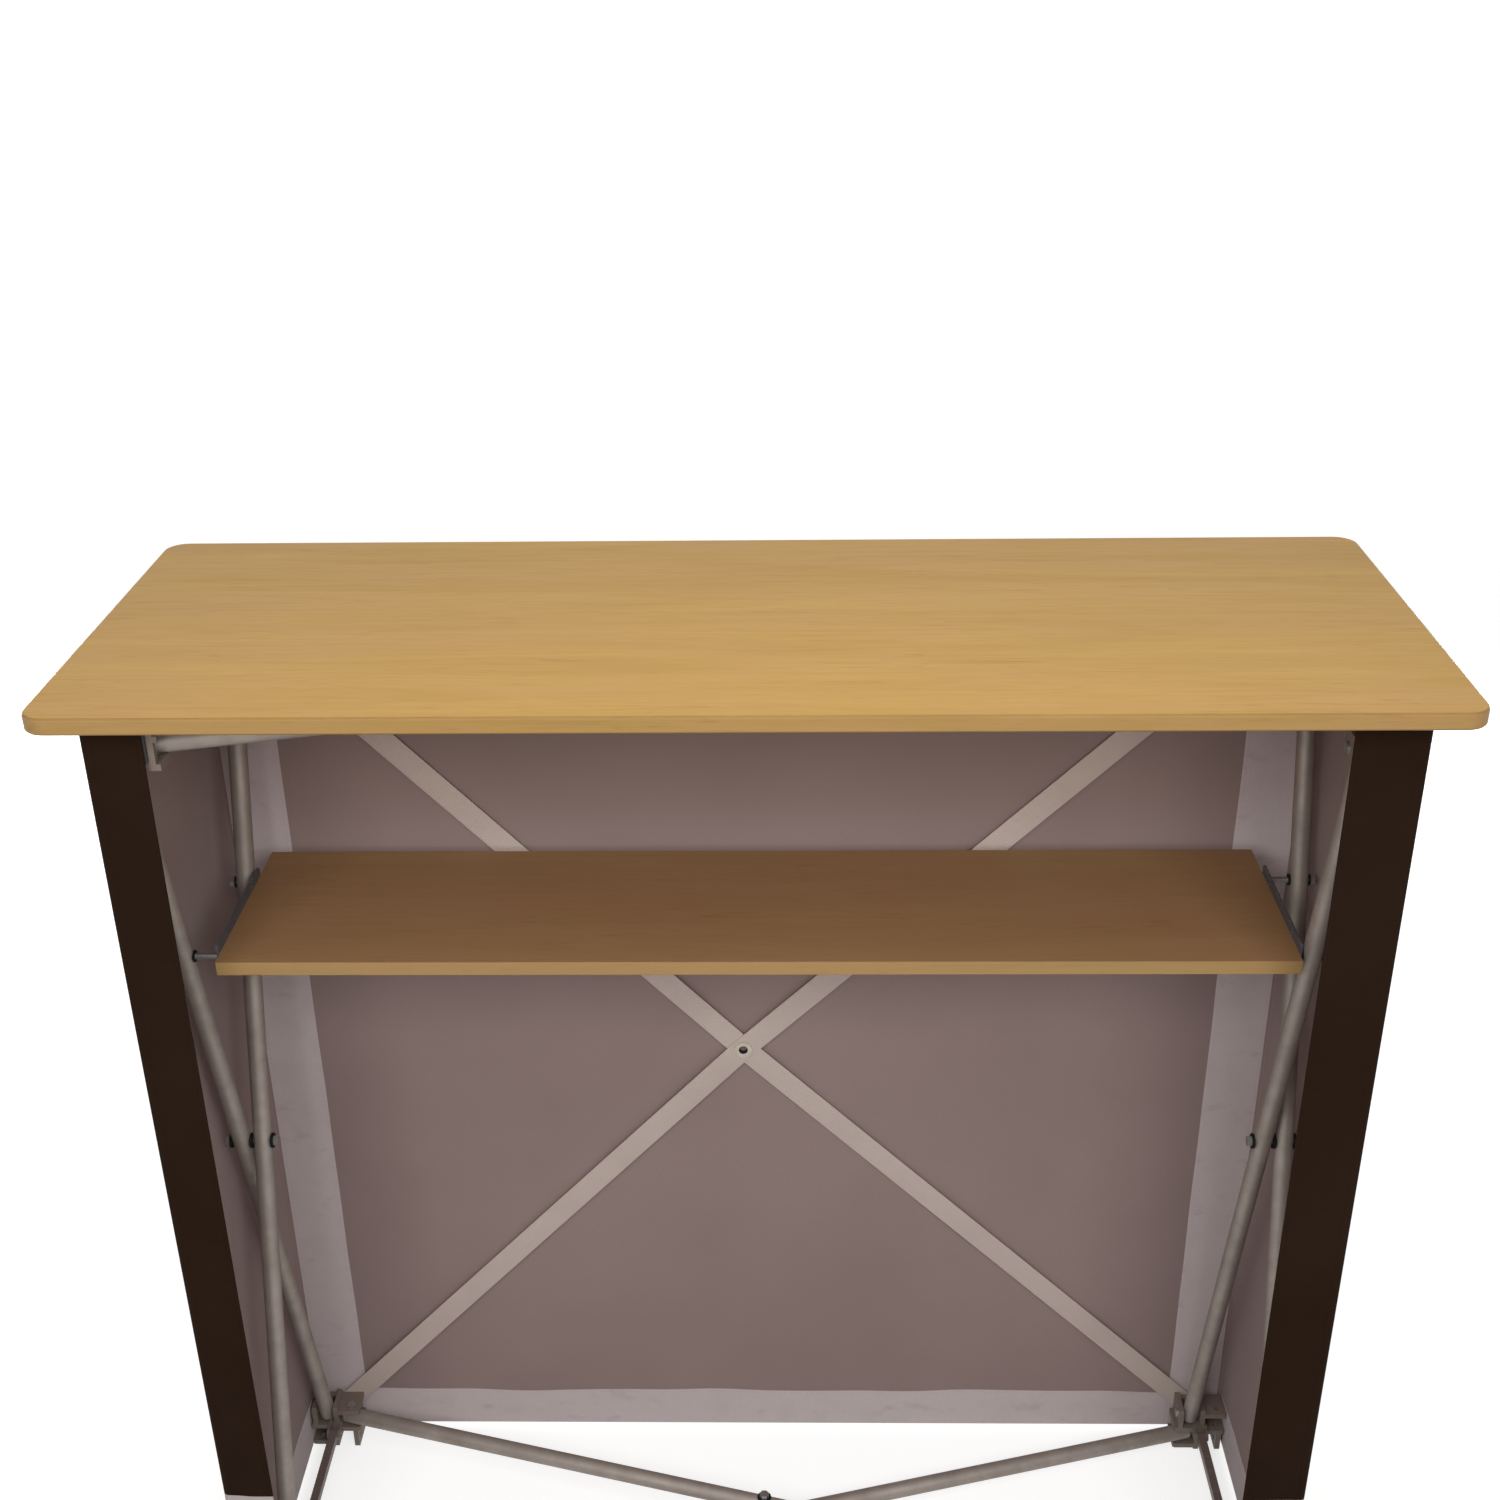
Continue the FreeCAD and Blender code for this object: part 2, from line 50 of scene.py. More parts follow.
PALE_BAND_TOP = 0.195
HOLD_WIDTH = 0.09
SIDE_SLACK = 0.0022
FRONT_SLACK = 0.0010
RETURN_SLACK = 0.0012
TOP_SLACK_SHARE = 0.55

# Ripples of the slack cloth, short and long, which lean by part of a turn over its height
RIPPLE_PITCH = 0.083
RIPPLE_LEAN = 0.5
RIPPLE_SHARE = 0.45
ROLL_PITCH = 0.31
ROLL_LEAN = -0.7
ROLL_SHARE = 0.55
ROLL_PHASE = 1.7

# Tapes, the wander of their free edge and their stitching
TAPE_STEP = 0.012
TAPE_COLUMNS = 4
TAPE_WOBBLE = 0.00025
HEM_WOBBLE = 0.0011
TAPE_GAP = TAPE_WOBBLE * 2
WANDER_LONG = 0.052
WANDER_SHORT = 0.021
WANDER_SHORT_SHARE = 0.6
WANDER_SHIFT = 9.0
STITCH_INSET = 0.003
STITCH_PITCH = 0.0055
STITCH_LENGTH = 0.0037
STITCH_WIDTH = 0.0007
STITCH_RISE = 0.0002
STITCH_SLOPE_SHARE = 0.18
STITCH_CROWN_SHARE = 0.6

# Webbing, with thin rounded edges, and the rivet through it along Y
Y_AXIS = Vector((0.0, 1.0, 0.0))
STRAP_WIDTH = 0.022
STRAP_TAIL = 0.014
STRAP_STEP = 0.010
STRAP_EDGE = 0.0022
STRAP_EDGE_SHARES = (0.0, 0.5, 0.8, 1.0)
STRAP_THINNING_SHARE = 0.6
RIVET_HOLE = 0.0104
RIVET_HOLE_SIDES = 40
# Reach from the rivet's axis of the painted shade in its bore
BORE_SHADE_REACH = 0.0043

# Hook pads: a hook has a stem, a cap and a tip, at shares of its rise
PAD_SIDE = 0.036
PAD_ROUND = 0.004
PAD_CORNER_STEPS = 6
HOOK_RISE = 0.0008
HOOK_PITCH = 0.0024
HOOK_WIDTH = 0.0005
HOOK_CAP = 0.0010
HOOK_TIP = 0.0005
HOOK_LEVEL_SHARES = (-0.2, 0.5, 0.7, 0.95)
HOOK_WIDTHS = (HOOK_WIDTH, HOOK_WIDTH, HOOK_CAP, HOOK_TIP)
QUARTERS = ((1, 1), (-1, 1), (-1, -1), (1, -1))

# Surfaces: heights of their bumps, pitches of their weaves and widths of rubbed edges
GRAIN_RISE = 0.00006
DRAWN_RISE = 0.00003
MOULD_RISE = 0.00005
BLOOM_RISE = 0.00002
DUST_RISE = 0.00004
PEEL_RISE = 0.00005
KNIT_RISE = 0.00012
NAP_RISE = 0.0003
WEAVE_RISE = 0.0003
PLY_RISE = 0.00008
KNIT_ROW = 0.0011
KNIT_COLUMN = 0.0008
LOOP_ROW = 0.0026
RIB_PITCH = 0.0018
WARP_PITCH = 0.0013
HUB_EDGE = 0.0012
HOOK_EDGE = 0.0003
PAINT_EDGE = 0.0008
SMOOTH_ANGLE = math.radians(40)

# Parts of a unit normal that tell a board's face, edging and short ends apart
FACE_NORMAL = 0.97
EDGING_NORMAL = 0.3
SHORT_END_NORMAL = 0.7

# How well a rounded normal agrees with the true one, off an edge and right on it
FLAT_AGREEMENT = 0.98
SHARP_AGREEMENT = 0.80

# Camera that matches the photograph, in pixels of its frame
IMAGE_SIZE = 1500
FOCAL_PIXELS = 1907.0
CENTRE_ROW = 850.0
SENSOR = 36.0
CAMERA_PLACE = Vector((0.0274, -1.3643, 1.4768))
CAMERA_PITCH = 0.4825
CAMERA_YAW = 0.0240
CAMERA_ROLL = -0.0137

# Light
AMBIENT = 0.28
KEY_POWER = 4.7
KEY_SIZE = 0.8
KEY_PLACE = Vector((0.03, -0.48, 1.80))
KEY_AIM = Vector((0.0, 0.0, 0.0))
FILL_POWER = 14.0
FILL_SIZE = 0.8
FILL_LEFT = Vector((-0.62, -1.75, 1.70))
FILL_RIGHT = Vector((0.62, -1.75, 1.70))
FILL_AIM = Vector((0.0, 0.0, 0.7))
PUBLIC_POWER = 26.0
PUBLIC_SIZE = 0.7
PUBLIC_LEFT = Vector((-1.9, 1.9, 0.58))
PUBLIC_RIGHT = Vector((1.9, 1.9, 0.58))
PUBLIC_AIM = Vector((0.0, 0.0, 0.5))

# Floor, and how far it is lifted towards white near the object and far away
FLOOR_SIZE = 70.0
FLOOR_GLOW_NEAR = 0.72
FLOOR_GLOW_FAR = 0.90
FLOOR_NEAR = 1.0
FLOOR_FAR = 4.5

# A wave texture turns this many times per metre at scale 1
WAVE_TURNS = 20.0 / (2.0 * math.pi)


def tone(red, green, blue):
    """A linear colour with full alpha."""
    return (red, green, blue, 1.0)


WHITE = tone(1.0, 1.0, 1.0)
PALE_PRINT = tone(0.66, 0.58, 0.55)
BROWN_PRINT = tone(0.0206, 0.0097, 0.0051)
BROWN_WORN = tone(0.028, 0.0147, 0.0086)


class Looks:
    """A node material and the short calls that build it."""

    def __init__(self, name):
        self.material = bpy.data.materials.new(name)
        self.material.use_nodes = True
        self.tree = self.material.node_tree
        self.shader = self.tree.nodes["Principled BSDF"]

    def add(self, kind, **settings):
        """A new node of a kind, with its settings."""
        node = self.tree.nodes.new("ShaderNode" + kind)
        for name, value in settings.items():
            setattr(node, name, value)
        return node

    def feed(self, socket, source):
        """Link a socket to an output, or set it to a plain value."""
        if isinstance(source, bpy.types.NodeSocket):
            self.tree.links.new(source, socket)
        else:
            socket.default_value = source

    def surface(self, **inputs):
        """Feed inputs of the surface shader, with _ for the spaces in their names."""
        for name, value in inputs.items():
            self.feed(self.shader.inputs[name.replace("_", " ")], value)

    def place(self, kind):
        """Texture coordinates of a kind: Object or UV."""
        return self.add("TexCoord").outputs[kind]

    def stretched(self, vector, scale):
        """Coordinates times a scale along each axis."""
        node = self.add("Mapping")
        self.feed(node.inputs["Vector"], vector)
        node.inputs["Scale"].default_value = scale
        return node.outputs[0]

    def noise(self, vector, scale, detail=2.0, roughness=0.5, distortion=0.0):
        """Cloudy noise, with about this many clouds per unit of its coordinates."""
        node = self.add("TexNoise")
        self.feed(node.inputs["Vector"], vector)
        node.inputs["Scale"].default_value = scale
        node.inputs["Detail"].default_value = detail
        node.inputs["Roughness"].default_value = roughness
        node.inputs["Distortion"].default_value = distortion
        return node.outputs[0]

    def wave(self, vector, period, direction):
        """Even ripples with a period in metres."""
        node = self.add("TexWave", bands_direction=direction)
        self.feed(node.inputs["Vector"], vector)
        node.inputs["Scale"].default_value = 1.0 / (WAVE_TURNS * period)
        return node.outputs["Fac"]

    def math(self, operation, first, second=0.0):
        """A sum, product or test of two values."""
        node = self.add("Math", operation=operation)
        self.feed(node.inputs[0], first)
        self.feed(node.inputs[1], second)
        return node.outputs[0]

    def ranged(self, value, low, high, to_low=0.0, to_high=1.0):
        """Carry a range of a value over to another range, clamped."""
        node = self.add("MapRange")
        self.feed(node.inputs["Value"], value)
        node.inputs["From Min"].default_value = low
        node.inputs["From Max"].default_value = high
        node.inputs["To Min"].default_value = to_low
        node.inputs["To Max"].default_value = to_high
        return node.outputs[0]

    def mix(self, share, first, second, blend_type="MIX"):
        """Two colours mixed. Inputs 6 and 7 and output 2 are the node's colours."""
        node = self.add("Mix", data_type="RGBA", blend_type=blend_type)
        self.feed(node.inputs[0], share)
        self.feed(node.inputs[6], first)
        self.feed(node.inputs[7], second)
        return node.outputs[2]

    def blend(self, first, second, value, low, high, to_low=0.0, to_high=1.0):
        """A colour that goes over to a second one as a value goes from low to high."""
        return self.mix(self.ranged(value, low, high, to_low, to_high), first, second)

    def axes(self, vector):
        """The three parts of a vector."""
        node = self.add("SeparateXYZ")
        self.feed(node.inputs[0], vector)
        return node.outputs

    def bump(self, height, rise):
        """Bumps from a height of 0 to 1, which stands for a rise in metres."""
        node = self.add("Bump")
        node.inputs["Distance"].default_value = rise
        self.feed(node.inputs["Height"], height)
        self.feed(self.shader.inputs["Normal"], node.outputs[0])

    def edges(self, radius):
        """A mask of the sharp edges, where paint or moulding is rubbed."""
        bevel = self.add("Bevel", samples=4)
        bevel.inputs["Radius"].default_value = radius
        dot = self.add("VectorMath", operation="DOT_PRODUCT")
        self.feed(dot.inputs[0], bevel.outputs[0])
        self.feed(dot.inputs[1], self.add("NewGeometry").outputs["Normal"])
        return self.ranged(dot.outputs["Value"], FLAT_AGREEMENT, SHARP_AGREEMENT)


# Materials of the rigid pieces
def maple(name, light, dark, blush, pore, edging, seam):
    """Wood-grain laminate: grain along X, and along Y on the edging of the two short ends.

    The edging and the seam, where it meets the face on the arris, are tints of the laminate.
    """
    looks = Looks(name)
    place = looks.place("Object")
    normal = looks.axes(looks.add("NewGeometry").outputs["Normal"])
    short_end = looks.math("GREATER_THAN", looks.math("ABSOLUTE", normal[0]), SHORT_END_NORMAL)
    x, y, z = looks.axes(place)[0:3]
    swapped = looks.add("CombineXYZ")
    looks.feed(swapped.inputs[0], y)
    looks.feed(swapped.inputs[1], x)
    looks.feed(swapped.inputs[2], z)
    along_grain = looks.mix(short_end, place, swapped.outputs[0])

    def grain(along, across, scale, **settings):
        """Noise that is drawn out along the grain."""
        drawn_out = looks.stretched(along_grain, (along, across, across))
        return looks.noise(drawn_out, scale, **settings)

    broad = grain(1.1, 9.0, 2.6, detail=4.0, roughness=0.55, distortion=0.9)
    warm = grain(1.4, 6.0, 3.4, detail=3.0, distortion=0.4)
    patch = grain(2.2, 13.0, 2.0)
    streak = grain(9.0, 170.0, 1.2, detail=4.0, roughness=0.65, distortion=0.5)
    figure = grain(9.0, 80.0, 1.4, detail=3.0, roughness=0.6, distortion=1.4)
    fleck = grain(34.0, 620.0, 1.0, roughness=0.6)
    colour = looks.blend(light, dark, broad, 0.34, 0.66, 0.0, 0.55)
    colour = looks.blend(colour, blush, warm, 0.42, 0.66, 0.0, 0.8)
    streak_patch = looks.ranged(patch, 0.38, 0.62, 0.10, 0.65)
    streaked = looks.math("MULTIPLY", looks.ranged(streak, 0.48, 0.82), streak_patch)
    colour = looks.mix(streaked, colour, dark)
    figure_patch = looks.ranged(patch, 0.45, 0.62, 0.05, 0.5)
    figured = looks.math("MULTIPLY", looks.ranged(figure, 0.60, 0.72), figure_patch)
    colour = looks.mix(figured, colour, pore)
    colour = looks.blend(colour, pore, fleck, 0.58, 0.78, 0.0, 0.4)
    upward = looks.math("ABSOLUTE", normal[2])
    tint = looks.mix(looks.math("LESS_THAN", upward, FACE_NORMAL), WHITE, seam)
    tint = looks.mix(looks.math("LESS_THAN", upward, EDGING_NORMAL), tint, edging)
    looks.surface(
        Base_Color=looks.mix(1.0, colour, tint, "MULTIPLY"),
        Roughness=looks.ranged(streak, 0.3, 0.7, 0.40, 0.52),
        Specular_IOR_Level=0.22,
    )
    looks.bump(looks.math("ADD", streak, fleck), GRAIN_RISE)
    return looks.material


def aluminium(name, pale, dull):
    """Satin anodised tube with a fine drawn texture and handling marks."""
    looks = Looks(name)
    place = looks.place("Object")
    drawn = looks.noise(looks.stretched(place, (900.0, 900.0, 60.0)), 1.0, detail=3.0, roughness=0.6)
    marks = looks.noise(place, 34.0, detail=5.0, roughness=0.65)
    looks.surface(
        Base_Color=looks.blend(pale, dull, marks, 0.38, 0.66),
        Metallic=0.35,
        Roughness=looks.ranged(marks, 0.3, 0.7, 0.50, 0.62),
        Specular_IOR_Level=0.35,
    )
    looks.bump(drawn, DRAWN_RISE)
    return looks.material


def nylon(name, colour, rubbed, edge):
    """Moulded nylon with a spark texture and paler rubbed edges."""
    looks = Looks(name)
    place = looks.place("Object")
    grain = looks.noise(place, 1400.0, roughness=0.6)
    cloudy = looks.noise(place, 55.0, detail=3.0)
    shade = looks.blend(colour, rubbed, cloudy, 0.35, 0.65, 0.0, 0.35)
    worn = looks.math("MULTIPLY", looks.edges(edge), looks.ranged(cloudy, 0.4, 0.6, 0.2, 0.8))
    looks.surface(
        Base_Color=looks.mix(worn, shade, rubbed),
        Roughness=looks.ranged(grain, 0.3, 0.7, 0.48, 0.62),
    )
    looks.bump(grain, MOULD_RISE)
    return looks.material


def eyelet(name, colour, rubbed, shade, centre):
    """Nylon of a hollow rivet along Y, with painted shade inside its bore."""
    looks = Looks(name)
    place = looks.place("Object")
    level = looks.add("VectorMath", operation="MULTIPLY")
    looks.feed(level.inputs[0], place)
    level.inputs[1].default_value = (1.0, 0.0, 1.0)
    reach = looks.add("VectorMath", operation="DISTANCE")
    looks.feed(reach.inputs[0], level.outputs[0])
    reach.inputs[1].default_value = (centre.x, 0.0, centre.z)
    # Painted shade: the rivet is darkened inside its bore
    inside = looks.math("LESS_THAN", reach.outputs["Value"], BORE_SHADE_REACH)
    cloudy = looks.noise(place, 240.0, detail=3.0)
    face = looks.blend(colour, rubbed, cloudy, 0.35, 0.65)
    looks.surface(Base_Color=looks.mix(inside, face, shade), Roughness=0.55)
    looks.bump(looks.noise(place, 1400.0, roughness=0.6), MOULD_RISE)
    return looks.material


def zinc(name, bright, dull):
    """Zinc-plated steel with a mottled bloom."""
    looks = Looks(name)
    bloom = looks.noise(looks.place("Object"), 420.0, detail=4.0, roughness=0.6)
    looks.surface(
        Base_Color=looks.blend(bright, dull, bloom, 0.35, 0.65),
        Metallic=0.9,
        Roughness=looks.ranged(bloom, 0.3, 0.7, 0.36, 0.54),
    )
    looks.bump(bloom, BLOOM_RISE)
    return looks.material


def rubber(name, black, dusty):
    """Matte black rubber with a dusty bloom."""
    looks = Looks(name)
    dust = looks.noise(looks.place("Object"), 260.0, detail=4.0, roughness=0.65)
    looks.surface(
        Base_Color=looks.blend(black, dusty, dust, 0.45, 0.75),
        Roughness=looks.ranged(dust, 0.3, 0.7, 0.62, 0.8),
        Specular_IOR_Level=0.2,
    )
    looks.bump(dust, DUST_RISE)
    return looks.material


def powder_coat(name, colour, bare):
    """Powder coat with a fine orange peel, worn to bare metal along its edges."""
    looks = Looks(name)
    place = looks.place("Object")
    peel = looks.noise(place, 700.0)
    scuffs = looks.noise(looks.stretched(place, (60.0, 220.0, 220.0)), 1.0, detail=4.0, roughness=0.6)
    worn = looks.math("MULTIPLY", looks.edges(PAINT_EDGE), looks.ranged(scuffs, 0.45, 0.62))
    shade = looks.blend(colour, bare, scuffs, 0.52, 0.75, 0.0, 0.25)
    looks.surface(
        Base_Color=looks.mix(worn, shade, bare),
        Roughness=looks.ranged(peel, 0.3, 0.7, 0.40, 0.54),
    )
    looks.bump(peel, PEEL_RISE)
    return looks.material


# Materials of the soft pieces
def knit(looks):
    """The fine rows and columns of a knitted cloth, as a height."""
    flat = looks.place("UV")
    rows = looks.wave(flat, KNIT_ROW, "Y")
    columns = looks.wave(flat, KNIT_COLUMN, "X")
    return looks.math("MULTIPLY", rows, columns)


def cloth_back(name, colour, deep):
    """Inner face of the wrap: plain mauve-grey cloth, darkened in part as painted shade of the counter's
    inside.
    """
    looks = Looks(name)
    loops = knit(looks)
    cloudy = looks.noise(looks.place("Object"), 4.0, detail=3.0, roughness=0.55)
    threads = looks.noise(looks.stretched(looks.place("UV"), (900.0, 130.0, 1.0)), 1.0)
    shade = looks.blend(colour, deep, cloudy, 0.35, 0.65)
    shade = looks.blend(shade, deep, threads, 0.4, 0.7, 0.0, 0.35)
    # Painted shade in the hollows of the knit
    shade = looks.blend(shade, deep, loops, 0.0, 0.6, 0.22, 0.0)
    looks.surface(
        Base_Color=shade,
        Roughness=0.9,
        Sheen_Weight=0.12,
        Sheen_Roughness=0.5,
        Specular_IOR_Level=0.2,
    )
    looks.bump(looks.math("ADD", loops, threads), KNIT_RISE)
    return looks.material


def cloth_print(name):
    """Outer face of the wrap: dark brown above a plain pale band, worn a little paler in places."""
    looks = Looks(name)
    place = looks.place("Object")
    loops = knit(looks)
    cloudy = looks.noise(place, 7.0, detail=4.0, roughness=0.6)
    brown = looks.blend(BROWN_PRINT, BROWN_WORN, cloudy, 0.42, 0.70, 0.0, 0.7)
    above = looks.math("GREATER_THAN", looks.axes(place)[2], PALE_BAND_TOP)
    colour = looks.mix(above, PALE_PRINT, brown)
    # Painted shade in the hollows of the knit
    colour = looks.blend(colour, BROWN_PRINT, loops, 0.0, 0.5, 0.25, 0.0)
    looks.surface(Base_Color=colour, Roughness=0.85, Specular_IOR_Level=0.06)
    looks.bump(loops, KNIT_RISE)
    return looks.material


def brushed_loop(name, colour, deep, soiled):
    """Loop tape: a napped face with faint rows and a few smudges."""
    looks = Looks(name)
    place = looks.place("Object")
    nap = looks.noise(place, 900.0, detail=3.0, roughness=0.7)
    patch = looks.noise(place, 38.0, detail=3.0)
    smudge = looks.noise(looks.stretched(place, (26.0, 26.0, 60.0)), 1.0, detail=5.0, roughness=0.6)
    rows = looks.wave(looks.place("UV"), LOOP_ROW, "X")
    shade = looks.blend(colour, deep, nap, 0.35, 0.7, 0.0, 0.45)
    shade = looks.blend(shade, deep, patch, 0.45, 0.7, 0.0, 0.3)
    shade = looks.blend(shade, soiled, smudge, 0.60, 0.74, 0.0, 0.35)
    looks.surface(
        Base_Color=shade,
        Roughness=0.95,
        Sheen_Weight=0.25,
        Sheen_Roughness=0.6,
        Specular_IOR_Level=0.15,
    )
    looks.bump(looks.math("ADD", nap, looks.math("MULTIPLY", rows, 0.1)), NAP_RISE)
    return looks.material


def woven_webbing(name, colour, deep):
    """Flat webbing: ribs across, with the warp showing along."""
    looks = Looks(name)
    flat = looks.place("UV")
    ribs = looks.wave(flat, RIB_PITCH, "X")
    warp = looks.wave(flat, WARP_PITCH, "Y")
    fibre = looks.noise(looks.stretched(flat, (2400.0, 700.0, 1.0)), 1.0)
    weave = looks.math("ADD", looks.math("MULTIPLY", ribs, warp), looks.math("MULTIPLY", fibre, 0.4))
    soil = looks.noise(looks.place("Object"), 16.0, detail=3.0)
    # Painted shade in the hollows of the weave
    shade = looks.blend(colour, deep, weave, 0.1, 0.8, 0.4, 0.0)
    shade = looks.blend(shade, deep, soil, 0.45, 0.75, 0.0, 0.35)
    looks.surface(
        Base_Color=shade,
        Roughness=0.8,
        Sheen_Weight=0.15,
        Sheen_Roughness=0.5,
        Specular_IOR_Level=0.25,
    )
    looks.bump(weave, WEAVE_RISE)
    return looks.material


def thread(name, colour, deep):
    """Sewing thread with a twisted ply."""
    looks = Looks(name)
    ply = looks.noise(looks.place("Object"), 2600.0)
    looks.surface(Base_Color=looks.mix(ply, colour, deep), Roughness=0.7, Sheen_Weight=0.2)
    looks.bump(ply, PLY_RISE)
    return looks.material


def outer_thread(name):
    """Thread dyed with the print: brown above and pale in the band."""
    looks = Looks(name)
    place = looks.place("Object")
    ply = looks.noise(place, 2600.0)
    above = looks.math("GREATER_THAN", looks.axes(place)[2], PALE_BAND_TOP)
    colour = looks.mix(above, PALE_PRINT, BROWN_PRINT)
    shade = looks.blend(colour, BROWN_WORN, ply, 0.3, 0.7, 0.0, 0.3)
    looks.surface(Base_Color=shade, Roughness=0.9, Specular_IOR_Level=0.06)
    looks.bump(ply, PLY_RISE)
    return looks.material


# Thin closed sheets
def thin_sheet(name, us, vs, place, flat, materials):
    """A closed sheet on a grid of us and vs.

    place gives a point of its inner (0) or outer (1) face, and flat its place on the flat cloth.
    """
    mesh = bmesh.new()
    laid = mesh.loops.layers.uv.new("cut")
    cut = {}
    grids = []
    for side in (0, 1):
        grid = []
        for u in us:
            column = []
            for v in vs:
                corner = mesh.verts.new(place(u, v, side))
                cut[corner] = flat(u, v)
                column.append(corner)
            grid.append(column)
        grids.append(grid)
    inner, outer = grids
    last_u = len(us) - 1
    last_v = len(vs) - 1
    for i in range(last_u):
        for j in range(last_v):
            mesh.faces.new((inner[i][j], inner[i][j + 1], inner[i + 1][j + 1], inner[i + 1][j]))
            face = mesh.faces.new((outer[i][j], outer[i + 1][j], outer[i + 1][j + 1], outer[i][j + 1]))
            face.material_index = len(materials) - 1
    border = [(i, 0) for i in range(last_u)] + [(last_u, j) for j in range(last_v)]
    border += [(i, last_v) for i in range(last_u, 0, -1)] + [(0, j) for j in range(last_v, 0, -1)]
    for (i, j), (k, m) in zip(border, border[1:] + border[:1]):
        face = mesh.faces.new((inner[i][j], inner[k][m], outer[k][m], outer[i][j]))
        face.material_index = len(materials) - 1
    for face in mesh.faces:
        face.smooth = True
        for loop in face.loops:
            loop[laid].uv = cut[loop.vert]
    bmesh.ops.recalc_face_normals(mesh, faces=mesh.faces)
    return finished(name, mesh, materials)


def finished(name, mesh, materials):
    """Turn a bmesh into an object with its materials and its hard edges marked."""
    data = bpy.data.meshes.new(name)
    mesh.to_mesh(data)
    mesh.free()
    for material in materials:
        data.materials.append(material)
    data.set_sharp_from_angle(angle=SMOOTH_ANGLE)
    made = bpy.data.objects.new(name, data)
    bpy.context.scene.collection.objects.link(made)
    return made


def steps(start, end, size):
    """Even places from start to end, about one size apart."""
    count = max(1, round(abs(end - start) / size))
    return [start + (end - start) * index / count for index in range(count + 1)]


def eased(share):
    """A smooth rise from 0 to 1."""
    share = min(1.0, max(0.0, share))
    return share * share * (3.0 - 2.0 * share)


# The wrap: five flat runs of one cloth, met by rounded corners
front_low, front_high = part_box("wrap_front")
left_low, left_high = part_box("wrap_side_left")
right_low, right_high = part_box("wrap_side_right")
cloth_thick = front_high.y - front_low.y
cloth_low = front_low.z
cloth_high = front_high.z
cloth_height = cloth_high - cloth_low
line_left = left_low.x + cloth_thick / 2
line_right = right_high.x - cloth_thick / 2
line_front = front_high.y - cloth_thick / 2
line_rear = left_low.y + cloth_thick / 2


class Wall:
    """One flat run of the cloth, walked with its outer side on the left."""

    def __init__(self, start, end, slack, free_start=False, free_end=False, phase=0.0):
        self.start = Vector(start)
        self.length = (Vector(end) - self.start).length
        self.along = (Vector(end) - self.start).normalized()
        self.outward = Vector((-self.along.y, self.along.x, 0.0))
        self.slack = slack
        self.first = 0.0 if free_start else CORNER_ROUND
        self.last = self.length if free_end else self.length - CORNER_ROUND
        self.free_start = free_start
        self.free_end = free_end
        self.phase = phase

    def distance(self, point):
        """How far along the wall a point lies."""
        return (Vector((point.x, point.y, 0.0)) - self.start).dot(self.along)

    def freedom(self, distance, height):
        """How free the cloth is, from 0 at a hem or corner to 1 in the open."""
        reach = min(HOLD_WIDTH, self.length / 2)
        share = eased(min(height - cloth_low, cloth_high - height) / HOLD_WIDTH)
        if not self.free_start:
            share *= eased((distance - self.first) / reach)
        if not self.free_end:
            share *= eased((self.last - distance) / reach)
        return share

    def bulge(self, distance, height):
        """Soft upright ripples, which only swell outwards, clear of the frame."""
        up = (height - cloth_low) / cloth_height
        ripple_turns = distance / RIPPLE_PITCH + RIPPLE_LEAN * up
        roll_turns = distance / ROLL_PITCH + ROLL_LEAN * up
        ripple = math.sin(2.0 * math.pi * ripple_turns + self.phase)
        roll = math.sin(2.0 * math.pi * roll_turns + ROLL_PHASE * self.phase)
        lower = TOP_SLACK_SHARE + (1.0 - TOP_SLACK_SHARE) * (1.0 - up)
        swell = 1.0 + RIPPLE_SHARE * ripple + ROLL_SHARE * roll
        return self.slack * self.freedom(distance, height) * lower * swell

    def point(self, distance, height, depth):
        """A point of the cloth, at a depth outwards from its middle."""
        place = self.start + self.along * distance
        place = place + self.outward * (depth + self.bulge(distance, height))
        return Vector((place.x, place.y, height))

    def corner(self, turn, height, depth):
        """A point of the rounded corner after this wall."""
        centre = self.start + self.along * self.last - self.outward * CORNER_ROUND
        spoke = self.outward * math.cos(turn) + self.along * math.sin(turn)
        place = centre + spoke * (CORNER_ROUND + depth)
        return Vector((place.x, place.y, height))


rear_left = (line_left, line_rear, 0.0)
front_left = (line_left, line_front, 0.0)
front_right = (line_right, line_front, 0.0)
rear_right = (line_right, line_rear, 0.0)
return_left = Wall((left_high.x, line_rear, 0.0), rear_left, RETURN_SLACK, free_start=True, phase=0.4)
side_left = Wall(rear_left, front_left, SIDE_SLACK, phase=2.1)
front = Wall(front_left, front_right, FRONT_SLACK, phase=0.9)
side_right = Wall(front_right, rear_right, SIDE_SLACK, phase=4.0)
return_right = Wall(rear_right, (right_low.x, line_rear, 0.0), RETURN_SLACK, free_end=True, phase=3.0)
walls = (return_left, side_left, front, side_right, return_right)


class Station:
    """One upright line of the wrap: a wall with a distance or a turn, and the cloth used up to it."""

    def __init__(self, wall, distance, turn, travelled):
        self.wall = wall
        self.distance = distance
        self.turn = turn
        self.travelled = travelled

    def point(self, height, depth):
        """A point of the line, at a depth outwards from the middle of the cloth."""
        if self.turn is None:
            return self.wall.point(self.distance, height, depth)
        return self.wall.corner(self.turn, height, depth)


